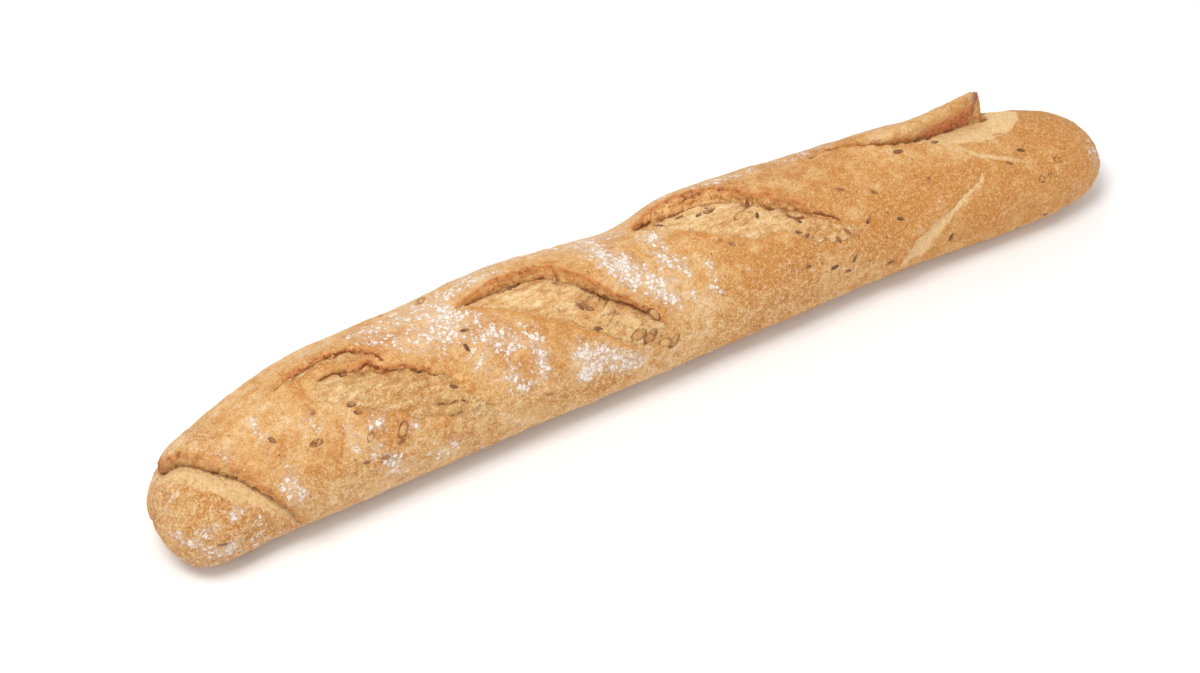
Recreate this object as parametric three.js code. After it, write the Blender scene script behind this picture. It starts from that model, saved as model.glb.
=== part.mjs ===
// A rustic seeded bread stick, baked as one piece: a long loaf with a flat underside, five
// slashes across its top that opened in the oven, and the raised crust lip along each slash.
//
// Millimetres, +Z up. X runs along the loaf, -Y is its near side, and the origin is the middle
// of its footprint on the table.
//
// A place on the crust is (x, girth): x along the loaf, and girth the distance round it from the
// top line, positive towards the near side.

import * as THREE from "three";

// ---------------------------------------------------------------- driving dimensions

const LOAF_LENGTH = 480;
const HALF_LENGTH = LOAF_LENGTH / 2;
const GIRTH_RADIUS = 36; // mm of girth for each radian round the loaf
const WIDEST_SHARE = 0.42; // the widest place's height, as a share of the loaf's height
const UNDERSIDE_SQUARENESS = 3; // superellipse exponent of the lower half
const UNDERSIDE_FLAT = 0.8; // how much the baking tray takes off the underside

const RINGS = 156;
const ROUND_STEPS = 30;
const END_CROWDING = 0.4; // rings stand closer together towards the ends
const TOP_CROWDING = 0.5; // and points closer together towards the top

// The loaf's body: half width, height, and how far its middle lies towards the near side.
const BODY = [
  { x: -240, halfWidth: 31, height: 43, near: 11 },
  { x: -200, halfWidth: 32, height: 45, near: 4 },
  { x: -160, halfWidth: 37.5, height: 52, near: 0 },
  { x: -110, halfWidth: 38, height: 52, near: -2 },
  { x: -60, halfWidth: 38.5, height: 53, near: -3 },
  { x: -20, halfWidth: 37.5, height: 52, near: -2 },
  { x: 20, halfWidth: 37.5, height: 51, near: -3 },
  { x: 60, halfWidth: 38.5, height: 53, near: -4 },
  { x: 110, halfWidth: 36, height: 50, near: -3 },
  { x: 150, halfWidth: 35, height: 49, near: -0.5 },
  { x: 200, halfWidth: 31, height: 43, near: 6 },
  { x: 240, halfWidth: 31, height: 43, near: 10 },
];

// Each end closes as a dome: its length, its squareness, and its tip's share of the height.
const LEFT_DOME = { length: 32, squareness: 2.2, tip: 0.48 };
const RIGHT_DOME = { length: 70, squareness: 2.6, tip: 0.25 };

// The slashes. lip is the crust edge that lifted and hem is where the new crust in the opening
// meets the old one, both as [x, girth]. lift is how far the lip stands up, drop how deep the
// cleft under it goes, lean how far the lip hangs over the opening and shoulder how far back
// the crust rises. The lip fades in over fadeIn and out over fadeOut, as shares of its length.
const SLASHES = [
  {
    lip: [[-231, -44], [-222, -23], [-214, -2], [-205, 15], [-195, 34], [-185, 58]],
    hem: [[-231, -44], [-233, -22], [-226, 0], [-216, 18], [-202, 40], [-185, 58]],
    lift: 3.2, drop: 3.2, lean: 2, shoulder: 16, fadeIn: 0.15, fadeOut: 0.25,
  },
  {
    lip: [[-173, -8], [-158, -9], [-144, -6], [-131, 2], [-117, 13], [-105, 28], [-80, 54]],
    hem: [[-173, -8], [-163, 6], [-149, 18], [-132, 30], [-116, 39], [-98, 49], [-80, 54]],
    lift: 2.6, drop: 2.6, lean: 0.8, shoulder: 14, fadeIn: 0.2, fadeOut: 0.55,
  },
  {
    lip: [[-88, -10], [-67, -10], [-48, -7], [-33, 2], [-21, 16], [-10, 29], [1, 42]],
    hem: [[-88, -10], [-79, 1], [-62, 13], [-45, 25], [-28, 38], [-12, 47], [1, 42]],
    lift: 4, drop: 3.6, lean: 2.4, shoulder: 18, fadeIn: 0.2, fadeOut: 0.25,
  },
  {
    lip: [[2, -13], [16, -12], [31, -8], [45, -3], [58, 6], [72, 16], [88, 23], [106, 35]],
    hem: [[2, -13], [12, -6], [27, 5], [43, 17], [62, 27], [80, 35], [94, 38], [106, 35]],
    lift: 3.2, drop: 3, lean: 1.2, shoulder: 16, fadeIn: 0.2, fadeOut: 0.4,
  },
  {
    lip: [[104, -17], [122, -12], [139, -8], [156, -6], [172, -9], [186, -14], [190, -20], [186, -32]],
    hem: [[104, -17], [122, -5], [141, 5], [160, 12], [177, 9], [191, 1], [198, -11], [196, -32]],
    lift: 10, drop: 2.4, lean: 1.6, shoulder: 13, fadeIn: 0.75, fadeOut: 0.12,
  },
];

// Stretch marks: shallow valleys where the crust pulled apart without being cut.
const STRETCH_MARKS = [
  { line: [[172, 25], [155, 36], [140, 43], [124, 51], [104, 64]], depth: 1.1, width: 4 },
  { line: [[166, 13], [184, 20], [200, 29]], depth: 0.6, width: 3 },
];

const HEM_ROLL = 1.4; // the old crust is rolled up a little along the hem of an opening
const CLIFF_HALF_WIDTH = 0.9; // the drop into the cleft takes this much either side of the lip
const CURVE_POINTS = 32;

// ---------------------------------------------------------------- the body's shape

const clamp01 = (value) => THREE.MathUtils.clamp(value, 0, 1);

// The body's sizes at x: a smooth curve through the stations of BODY.
function bodyAt(x) {
  const last = BODY.length - 1;
  const found = BODY.findIndex((station) => station.x > x);
  const i = found < 0 ? last - 1 : Math.max(found - 1, 0);
  const [from, to] = [BODY[i], BODY[i + 1]];
  const run = to.x - from.x;
  const t = clamp01((x - from.x) / run);
  const slope = (key, k) => {
    const [a, b] = [BODY[Math.max(k - 1, 0)], BODY[Math.min(k + 1, last)]];
    return (b[key] - a[key]) / (b.x - a.x);
  };
  const blend = (key) =>
    (2 * t ** 3 - 3 * t ** 2 + 1) * from[key] +
    (t ** 3 - 2 * t ** 2 + t) * run * slope(key, i) +
    (3 * t ** 2 - 2 * t ** 3) * to[key] +
    (t ** 3 - t ** 2) * run * slope(key, i + 1);
  return { halfWidth: blend("halfWidth"), height: blend("height"), near: blend("near") };
}

// A point of the smooth body at x and at an angle round it: 0 is the top, a quarter turn the
// near side.
function bodyPoint(x, angle) {
  const { halfWidth, height, near } = bodyAt(x);
  const dome = x < 0 ? LEFT_DOME : RIGHT_DOME;
  const into = clamp01((Math.abs(x) - (HALF_LENGTH - dome.length)) / dome.length);
  const closing = (1 - into ** dome.squareness) ** (1 / dome.squareness);
  const tip = dome.tip * height;
  const widest = WIDEST_SHARE * height;
  const [across, up] = [Math.sin(angle), Math.cos(angle)];
  const power = 2 / UNDERSIDE_SQUARENESS;
  const out = up > 0 ? across : Math.sign(across) * Math.abs(across) ** power;
  const z =
    up > 0
      ? widest + (height - widest) * up
      : Math.max(widest - (widest + UNDERSIDE_FLAT) * Math.abs(up) ** power, 0);
  return new THREE.Vector3(x, -(near + closing * halfWidth * out), tip + closing * (z - tip));
}

// ---------------------------------------------------------------- the slashes

const curveOf = (points) =>
  new THREE.SplineCurve(points.map(([x, girth]) => new THREE.Vector2(x, girth))).getPoints(
    CURVE_POINTS,
  );

// Where a place lies from a curve: its distance, signed positive on the right hand of the
// curve's travel, how far along the curve it is from 0 to 1, and the way to the right there.
function fromCurve(curve, place) {
  let best = { squared: Infinity };
  for (let i = 0; i + 1 < curve.length; i++) {
    const run = curve[i + 1].clone().sub(curve[i]);
    const offset = place.clone().sub(curve[i]);
    const t = clamp01(offset.dot(run) / run.lengthSq());
    const gap = offset.clone().addScaledVector(run, -t);
    if (gap.lengthSq() < best.squared) {
      const along = (i + t) / (curve.length - 1);
      best = { squared: gap.lengthSq(), side: -Math.sign(run.cross(gap)), along, run };
    }
  }
  const right = new THREE.Vector2(best.run.y, -best.run.x).normalize();
  return { distance: best.side * Math.sqrt(best.squared), along: best.along, right };
}

const slashes = SLASHES.map((slash) => ({
  ...slash,
  lipCurve: curveOf(slash.lip),
  hemCurve: curveOf(slash.hem),
}));

// How a slash moves a place of the crust: outwards by rise, and along the crust by slide.
function slashRelief(slash, place) {
  const lip = fromCurve(slash.lipCurve, place);
  const hem = fromCurve(slash.hemCurve, place);
  const fade =
    THREE.MathUtils.smoothstep(lip.along, 0, slash.fadeIn) *
    THREE.MathUtils.smoothstep(1 - lip.along, 0, slash.fadeOut);
  const onCrust = THREE.MathUtils.smoothstep(lip.distance, -CLIFF_HALF_WIDTH, CLIFF_HALF_WIDTH);
  const behind = Math.max(lip.distance, 0);
  const crust = slash.lift * Math.exp(-((behind / slash.shoulder) ** 2));
  const across = Math.max(-lip.distance, 0);
  const toHem = Math.max(hem.distance, 0);
  const share = toHem > 0 ? toHem / (toHem + across) : 0;
  const roll = HEM_ROLL * (1 - share) ** 2 * Math.exp(-((Math.min(hem.distance, 0) / 8) ** 2));
  const opening = roll - slash.drop * share ** 1.4;
  const hang = slash.lean * onCrust * Math.exp(-behind / slash.shoulder);
  return {
    rise: fade * (onCrust * crust + (1 - onCrust) * opening),
    slide: lip.right.clone().multiplyScalar(-hang * fade),
  };
}

const stretchMarks = STRETCH_MARKS.map((mark) => ({ ...mark, curve: curveOf(mark.line) }));

function stretchRelief(mark, place) {
  const { distance, along } = fromCurve(mark.curve, place);
  return -mark.depth * Math.sin(Math.PI * along) * Math.exp(-((distance / mark.width) ** 2));
}

// The point of the finished crust at a place.
function crustPoint(place) {
  const moved = place.clone();
  let rise = 0;
  for (const slash of slashes) {
    const relief = slashRelief(slash, place);
    rise += relief.rise;
    moved.add(relief.slide);
  }
  for (const mark of stretchMarks) rise += stretchRelief(mark, place);
  const angle = place.y / GIRTH_RADIUS;
  const outwards = new THREE.Vector3(0, -Math.sin(angle), Math.cos(angle));
  return bodyPoint(moved.x, moved.y / GIRTH_RADIUS).addScaledVector(outwards, rise);
}

// ---------------------------------------------------------------- the grid laid over the crust

// Places on the crust in rings along the loaf: grid[ring][step], leaving out the two tips.
function evenGrid() {
  const grid = [];
  for (let ring = 1; ring < RINGS; ring++) {
    const v = (2 * ring) / RINGS - 1;
    const x = HALF_LENGTH * v * (1 + END_CROWDING * (1 - v * v));
    const places = [];
    for (let step = 0; step < ROUND_STEPS; step++) {
      const turn = (2 * Math.PI * step) / ROUND_STEPS - Math.PI;
      const angle = turn - TOP_CROWDING * Math.sin(turn);
      places.push(new THREE.Vector2(x, GIRTH_RADIUS * angle));
    }
    grid.push(places);
  }
  return grid;
}

// The places joined to one by an edge of the skin.
const JOINED = [[1, 0], [-1, 0], [0, 1], [0, -1], [1, 1], [-1, -1]];
const joined = (grid, ring, step) =>
  JOINED.map(([dr, ds]) => grid[ring + dr]?.[step + ds]).filter((place) => place);

// Draws the places on either side of a slash up to its lip and its cleft, so that both come out
// as clean lines.
function drawUpTo(grid, slash, held) {
  const found = new Map();
  for (const place of grid.flat()) {
    const lip = fromCurve(slash.lipCurve, place);
    if (lip.along > 0 && lip.along < 1 && Math.abs(lip.distance) < 9) found.set(place, lip);
  }
  grid.forEach((places, ring) =>
    places.forEach((place, step) => {
      const lip = found.get(place);
      const across = (other) => found.get(other)?.distance * lip.distance < 0;
      if (lip && joined(grid, ring, step).some(across)) held.set(place, lip);
    }),
  );
  for (const place of held.keys()) {
    const lip = found.get(place);
    if (!lip) continue;
    const wanted = Math.sign(lip.distance) * CLIFF_HALF_WIDTH;
    place.addScaledVector(lip.right, wanted - lip.distance);
  }
}

// Evens out the places near a slash, leaving those on its lip and its cleft where they are.
function relax(grid, held) {
  const before = grid.map((places) => places.map((place) => place.clone()));
  grid.forEach((places, ring) =>
    places.forEach((place, step) => {
      const near = joined(before, ring, step);
      if (held.has(place) || near.length < 6) return;
      const middle = near.reduce((sum, other) => sum.add(other), new THREE.Vector2());
      place.lerp(middle.divideScalar(6), 0.5);
    }),
  );
}

function crustGrid() {
  const grid = evenGrid();
  const held = new Map();
  for (const slash of slashes) drawUpTo(grid, slash, held);
  for (let round = 0; round < 4; round++) relax(grid, held);
  return grid;
}

// ---------------------------------------------------------------- the loaf's skin

// Rings of points along the loaf, with one point at each tip, as an indexed closed surface.
function loafGeometry() {
  const rings = crustGrid().map((places) => places.map(crustPoint));
  const points = [bodyPoint(-HALF_LENGTH, 0), ...rings.flat(), bodyPoint(HALF_LENGTH, 0)];

  const at = (ring, step) => 1 + ring * ROUND_STEPS + (step % ROUND_STEPS);
  const lastRing = rings.length - 1;
  const index = [];
  for (let step = 0; step < ROUND_STEPS; step++) {
    index.push(0, at(0, step + 1), at(0, step));
    for (let ring = 0; ring < lastRing; ring++) {
      const [a, b] = [at(ring, step), at(ring, step + 1)];
      const [c, d] = [at(ring + 1, step + 1), at(ring + 1, step)];
      index.push(a, c, d, a, b, c);
    }
    index.push(points.length - 1, at(lastRing, step), at(lastRing, step + 1));
  }

  const geometry = new THREE.BufferGeometry().setFromPoints(points).setIndex(index);
  geometry.computeBoundingBox();
  const { min, max } = geometry.boundingBox;
  geometry.translate(-(min.x + max.x) / 2, -(min.y + max.y) / 2, -min.z);
  geometry.computeVertexNormals();
  return geometry;
}

const crust = new THREE.MeshStandardMaterial({ color: 0xd8a361, roughness: 0.82, metalness: 0 });

const loaf = new THREE.Mesh(loafGeometry(), crust);
loaf.name = "loaf";

const breadStick = new THREE.Group();
breadStick.add(loaf);

export default breadStick;
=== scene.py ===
import math

import bmesh
import bpy
import numpy as np
from mathutils import Matrix, Vector, noise
from mathutils.bvhtree import BVHTree


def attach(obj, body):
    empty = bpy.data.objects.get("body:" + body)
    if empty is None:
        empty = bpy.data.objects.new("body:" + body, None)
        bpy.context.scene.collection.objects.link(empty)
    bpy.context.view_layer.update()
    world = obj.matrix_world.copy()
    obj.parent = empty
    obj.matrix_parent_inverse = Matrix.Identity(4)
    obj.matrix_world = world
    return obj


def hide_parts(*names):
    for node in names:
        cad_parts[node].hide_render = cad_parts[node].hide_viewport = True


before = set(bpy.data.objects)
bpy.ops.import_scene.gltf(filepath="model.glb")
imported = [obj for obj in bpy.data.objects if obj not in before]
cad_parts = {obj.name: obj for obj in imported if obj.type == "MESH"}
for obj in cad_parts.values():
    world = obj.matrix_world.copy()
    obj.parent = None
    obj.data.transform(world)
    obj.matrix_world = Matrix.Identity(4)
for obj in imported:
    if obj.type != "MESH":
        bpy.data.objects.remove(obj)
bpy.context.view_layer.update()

# ------------------------------------------------------------------ the loaf's body
# A stick of rustic wheat dough, rolled by hand, laid on a flat tray and baked as one piece. Its
# width, height and course wander a little along its length, and both ends are rounded off.
# A place on it is (x, girth): mm along the loaf, and mm round it from the top line, positive
# towards the near side.

HALF_LENGTH = 240.0
GIRTH_RADIUS = 36.0  # mm of girth for each radian round the loaf
MM = 0.001
WIDEST_SHARE = 0.42
UNDERSIDE_SQUARENESS = 3.0
UNDERSIDE_FLAT = 0.8

# x, half width, height, and how far the middle lies towards the near side
STATIONS = np.array(
    [
        (-240, 31, 43, 11),
        (-200, 32, 45, 4),
        (-160, 37.5, 52, 0),
        (-110, 38, 52, -2),
        (-60, 38.5, 53, -3),
        (-20, 37.5, 52, -2),
        (20, 37.5, 51, -3),
        (60, 38.5, 53, -4),
        (110, 36, 50, -3),
        (150, 35, 49, -0.5),
        (200, 31, 43, 6),
        (240, 31, 43, 10),
    ],
    dtype=float,
)
# each end's dome: length, squareness, and its tip's share of the height
LEFT_DOME = (32, 2.2, 0.48)
RIGHT_DOME = (70, 2.6, 0.25)


def body_sizes(x):
    """Half width, height and near offset at x, on a smooth curve through the stations."""
    at, values = STATIONS[:, 0], STATIONS[:, 1:]
    slopes = np.gradient(values, at, axis=0)
    slopes[1:-1] = (values[2:] - values[:-2]) / (at[2:] - at[:-2])[:, None]
    x = np.clip(x, at[0], at[-1])
    i = np.clip(np.searchsorted(at, x, side="right") - 1, 0, len(at) - 2)
    run = (at[i + 1] - at[i])[..., None]
    t = (x - at[i])[..., None] / run
    sizes = (2 * t**3 - 3 * t**2 + 1) * values[i] + (3 * t**2 - 2 * t**3) * values[i + 1]
    sizes += run * ((t**3 - 2 * t**2 + t) * slopes[i] + (t**3 - t**2) * slopes[i + 1])
    return np.moveaxis(sizes, -1, 0)


def body_point(x, girth):
    """Points of the smooth body, in mm."""
    half_width, height, near = body_sizes(x)
    length, squareness, tip = (
        np.where(x < 0, left, right) for left, right in zip(LEFT_DOME, RIGHT_DOME)
    )
    into = np.clip((np.abs(x) - (HALF_LENGTH - length)) / length, 0, 1)
    closing = (1 - into**squareness) ** (1 / squareness)
    across, up = np.sin(girth / GIRTH_RADIUS), np.cos(girth / GIRTH_RADIUS)
    power = 2 / UNDERSIDE_SQUARENESS
    widest = WIDEST_SHARE * height
    out = np.where(up > 0, across, np.sign(across) * np.abs(across) ** power)
    below = np.maximum(widest - (widest + UNDERSIDE_FLAT) * np.abs(up) ** power, 0)
    z = np.where(up > 0, widest + (height - widest) * up, below)
    y = -(near + closing * half_width * out)
    return np.stack([x, y, tip * height + closing * (z - tip * height)], -1)


def body_normal(x, girth, step=0.5):
    """The way straight out of the smooth body."""
    x = np.clip(x, -HALF_LENGTH + 1, HALF_LENGTH - 1)
    along_loaf = body_point(x + step, girth) - body_point(x - step, girth)
    round_loaf = body_point(x, girth + step) - body_point(x, girth - step)
    out = np.cross(round_loaf, along_loaf)
    return out / np.maximum(np.linalg.norm(out, axis=-1, keepdims=True), 1e-9)


def smooth(value, low, high):
    """0 below low, 1 above high, and smooth between."""
    t = np.clip((value - low) / (high - low), 0, 1)
    return t * t * (3 - 2 * t)


# A ball's rings become the rings round the loaf, and its poles the loaf's two tips. The rings'
# points crowd towards the slashed side.
ROUND_STEPS = 200
RINGS = 496
TIP_CROWDING = 0.06
TOP_CROWDING = 0.4
CROWDED_TURN = 0.35

dough = bmesh.new()
bmesh.ops.create_uvsphere(dough, u_segments=ROUND_STEPS, v_segments=RINGS, radius=1)
ball = np.array([vertex.co for vertex in dough.verts])
latitude = 1 - 2 * np.arccos(np.clip(ball[:, 2], -1, 1)) / math.pi
turn = np.arctan2(ball[:, 1], ball[:, 0])
from_tip = 1 - np.abs(latitude)
inward = (1 + TIP_CROWDING) * from_tip**2 / (from_tip + TIP_CROWDING)
along_body = HALF_LENGTH * np.sign(latitude) * (1 - inward)
crowded = turn - TOP_CROWDING * (np.sin(turn - CROWDED_TURN) + math.sin(CROWDED_TURN))
place = np.stack([along_body, GIRTH_RADIUS * crowded], -1)

# ------------------------------------------------------------------ the slashes
# Before baking the dough was slashed with a blade held low, so that in the oven each cut opened
# on one side: the crust behind it lifted into a thin browned lip, and the soft crumb under the
# lip swelled out and baked paler, down to a hem where it meets the old crust.

# lip and hem are curves of places. Each row of rows gives a share of the slash's length, how far
# the lip stands up there, and the girth that its broken face takes. steep is how upright that
# face is (1 for straight down), drop how deep the cleft at its foot goes, lean how far the lip
# hangs over, belly how far the face swells out, shoulder how far back the crust rises, ends the
# shares of its length over which it comes up and dies away, roll and step how far the old crust
# at the hem is rolled up and how far the crumb lies below it, soft the width over which skin
# pales at the hem, torn how crumbly the opening is, ragged how uneven its lines are, and toasted
# how dark the oven made the face.
SLASHES = [
    dict(  # the knob's
        lip=[(-230, -42), (-225, -17), (-218, -4), (-211, 8), (-203, 20), (-196, 31), (-189.5, 43),
             (-184, 55), (-179, 73)],
        hem=[(-230, -42), (-238, -18), (-231, 2), (-222, 18), (-211, 34), (-200, 48), (-191, 61),
             (-179, 73)],
        rows=[(0, 0, 3), (0.12, 3.6, 4.5), (0.45, 4.2, 4.8), (0.8, 2.8, 3.8), (1, 0, 3)],
        steep=0.2, drop=2.8, lean=1.4, belly=1.2, shoulder=12, ends=(0.08, 0.12), roll=0, step=0,
        soft=4, torn=0.25, ragged=1.4, toasted=0.6,
    ),
    dict(  # a first thin tear above the next
        lip=[(-174, -9), (-164, -9.5), (-152, -9.5), (-145, -10), (-138, -7), (-131, 0), (-126, 8)],
        hem=[(-174, -9), (-166, -3), (-158, -2), (-148, 0), (-138, 3), (-132, 5), (-126, 8)],
        rows=[(0, 0, 3), (0.15, 1.4, 3.5), (0.5, 1.6, 4), (0.8, 1.4, 4), (1, 0, 3)],
        steep=0.5, drop=0.9, lean=0.3, belly=0.2, shoulder=12, ends=(0.15, 0.2), roll=0, step=0,
        soft=2, torn=0.6, ragged=2.0, toasted=1.0,
    ),
    dict(
        lip=[(-167, 11), (-162, 4), (-155, -0.5), (-147, 2), (-138, 4.5), (-129, 8), (-121, 11),
             (-114, 15.5), (-108, 21), (-98, 34), (-84, 52)],
        hem=[(-167, 11), (-158, 16), (-148, 21), (-136, 28), (-122, 36), (-108, 43), (-96, 49),
             (-84, 52)],
        rows=[(0, 0, 1.5), (0.2, 0.1, 2.5), (0.35, 0.9, 3), (0.48, 1.6, 4.5), (0.65, 1.8, 4.5),
              (0.76, 0.5, 2.5), (1, 0, 1.5)],
        steep=0.5, drop=1.4, lean=0.4, belly=0.3, shoulder=10, ends=(0.4, 0.4), roll=0.3, step=0.2,
        soft=3, torn=0.7, ragged=1.9, toasted=0.9,
    ),
    dict(
        lip=[(-91, -8), (-72, -10.5), (-54, -10.5), (-43, -7), (-35, 1), (-29, 9), (-23, 16),
             (-16, 23), (-9, 31), (0, 43)],
        hem=[(-91, -8), (-78, 1), (-62, 12), (-48, 22.5), (-36, 32), (-22, 43), (-11, 48),
             (0, 43)],
        rows=[(0, 1.2, 3), (0.15, 3.0, 5), (0.4, 4.6, 6.5), (0.65, 4.2, 6.5), (0.85, 2.6, 4.5),
              (1, 0, 2.5)],
        steep=0.66, drop=2.3, lean=1.2, belly=0.6, shoulder=17, ends=(0.06, 0.15), roll=1.0, step=0.9,
        soft=3, torn=1, ragged=1.4, toasted=0.8,
    ),
    dict(
        lip=[(1, -14), (8, -18), (16, -20), (27, -22), (38, -20), (47, -14), (56, -4), (66, 4),
             (74, 9), (82, 17), (92, 26), (106, 34)],
        hem=[(1, -14), (10, -9), (23, 1), (36, 11), (50, 20), (62, 22.5), (74, 30), (86, 35),
             (97, 36.5), (106, 34)],
        rows=[(0, 0, 2), (0.12, 2.4, 7), (0.3, 3.2, 11.5), (0.42, 3.0, 11.5), (0.52, 2.6, 7),
              (0.68, 2.8, 7), (0.84, 1.4, 3.5), (1, 0, 2)],
        steep=0.45, drop=2.2, lean=0.6, belly=0.5, shoulder=15, ends=(0.1, 0.3), roll=0.8, step=0.9,
        soft=3, torn=1, ragged=1.8, toasted=0.85,
    ),
    dict(  # the last, whose lip curled up into a tall flap
        lip=[(102, -23), (112, -18), (121, -13.5), (132, -8), (144, -4.5), (157, -5.5), (168, -8.5),
             (178, -12), (184, -14), (189.5, -17), (192, -28), (198, -42)],
        hem=[(102, -23), (117, -10), (134, 1), (150, 6), (166, 8.5), (178, 8), (190, 5), (199, -2),
             (206, -12), (206, -30), (198, -42)],
        rows=[(0, 0.6, 3), (0.12, 2.2, 4), (0.3, 5.8, 4.5), (0.5, 10, 5), (0.65, 13.2, 5.5),
              (0.705, 14, 5.5), (0.775, 0.3, 3), (1, 0, 2)],
        steep=1, drop=1.8, lean=1.0, belly=0.9, shoulder=12, ends=(0.04, 0.28), roll=0.5, step=0.4,
        soft=0.8, torn=0.12, ragged=0.9, toasted=0.12,
    ),
    dict(  # a late stretch low on the near side
        lip=[(104, 70), (110, 64), (117, 57.5), (124, 50), (131, 45), (138, 41.5), (145, 38.5),
             (152, 35), (159, 31), (165, 26), (171, 20)],
        hem=[(104, 70), (116, 69.5), (125, 64.5), (134, 59.5), (140, 53.5), (145, 48), (150, 43.5),
             (156, 40), (162, 35), (168, 28.5), (171, 20)],
        rows=[(0, 0, 1), (0.15, 1.3, 1.6), (0.4, 1.2, 1.4), (0.6, 0.4, 0.7), (1, 0, 0.5)],
        steep=0.9, drop=0.9, lean=0.5, belly=0.1, shoulder=7, ends=(0.15, 0.5), roll=0, step=0,
        soft=4, torn=0.15, ragged=1.5, toasted=0.5,
    ),
]
DRAWN_IN = 0.5  # the surface points are drawn in towards each lip, where the detail is finest
DRAWN_REACH = 8.0
BURNT_LINE = 1.7  # the widest that a lip's burnt line gets, in mm
CURVE_STEPS = 48
CURVE_REACH = 60.0  # mm from a curve beyond which nothing of it is felt
FAR_OFF = 1e3  # the distance given to places beyond that


def curve_through(points):
    """A smooth curve through a few places, as a line of many."""
    points = np.array(points, dtype=float)
    padded = np.vstack([2 * points[0] - points[1], points, 2 * points[-1] - points[-2]])
    t = np.linspace(0, len(points) - 1, CURVE_STEPS)
    i = np.minimum(t.astype(int), len(points) - 2)
    t = (t - i)[:, None]
    a, b, c, d = (padded[i + k] for k in range(4))
    bend = 2 * a - 5 * b + 4 * c - d
    return 0.5 * (2 * b + (c - a) * t + bend * t**2 + (3 * b - a - 3 * c + d) * t**3)


def from_curve(curve, places):
    """Signed distance (positive on the right hand), share along, and the way to the right."""
    low, high = curve.min(0) - CURVE_REACH, curve.max(0) + CURVE_REACH
    reached = np.flatnonzero(((places > low) & (places < high)).all(1))
    best = np.full(len(reached), np.inf)
    found = np.zeros((len(reached), 4))
    for i, (start, end) in enumerate(zip(curve[:-1], curve[1:])):
        run = end - start
        offset = places[reached] - start
        t = np.clip(offset @ run / (run @ run), 0, 1)
        gap = offset - t[:, None] * run
        squared = (gap**2).sum(-1)
        closer = squared < best
        side = -np.sign(run[0] * gap[:, 1] - run[1] * gap[:, 0])
        best[closer] = squared[closer]
        found[closer, 0] = (side * np.sqrt(squared))[closer]
        found[closer, 1] = ((i + t) / (len(curve) - 1))[closer]
        found[closer, 2:] = np.array([run[1], -run[0]]) / np.linalg.norm(run)
    every = np.tile([FAR_OFF, 0, 0, 0], (len(places), 1))
    every[reached] = found
    return every[:, 0], every[:, 1], every[:, 2:]


for slash in SLASHES:
    distance, along, right = from_curve(curve_through(slash["lip"]), place)
    pull = DRAWN_IN * distance * np.exp(-((distance / DRAWN_REACH) ** 2))
    place -= right * (pull * smooth(along, 0, 0.05) * smooth(1 - along, 0, 0.05))[:, None]


def wander(size, seed, stretch=(1, 1, 1)):
    """Soft noise from -1 to 1 over the crust, with features about size mm across."""
    angle = place[:, 1] / GIRTH_RADIUS
    spread = np.stack([place[:, 0], GIRTH_RADIUS * np.cos(angle), GIRTH_RADIUS * np.sin(angle)], -1)
    spread = spread * np.array(stretch) / size + np.array([13.7, 5.1, 9.3]) * seed
    return np.array([noise.noise(Vector(point)) for point in spread])


coarse = wander(26, 1)
middling = wander(9, 2)
fine = wander(3.4, 3)
crumbly = wander(1.8, 4)
stringy = wander(4.5, 5, stretch=(0.5, 1, 1))
chewed = wander(2.2, 6)

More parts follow.
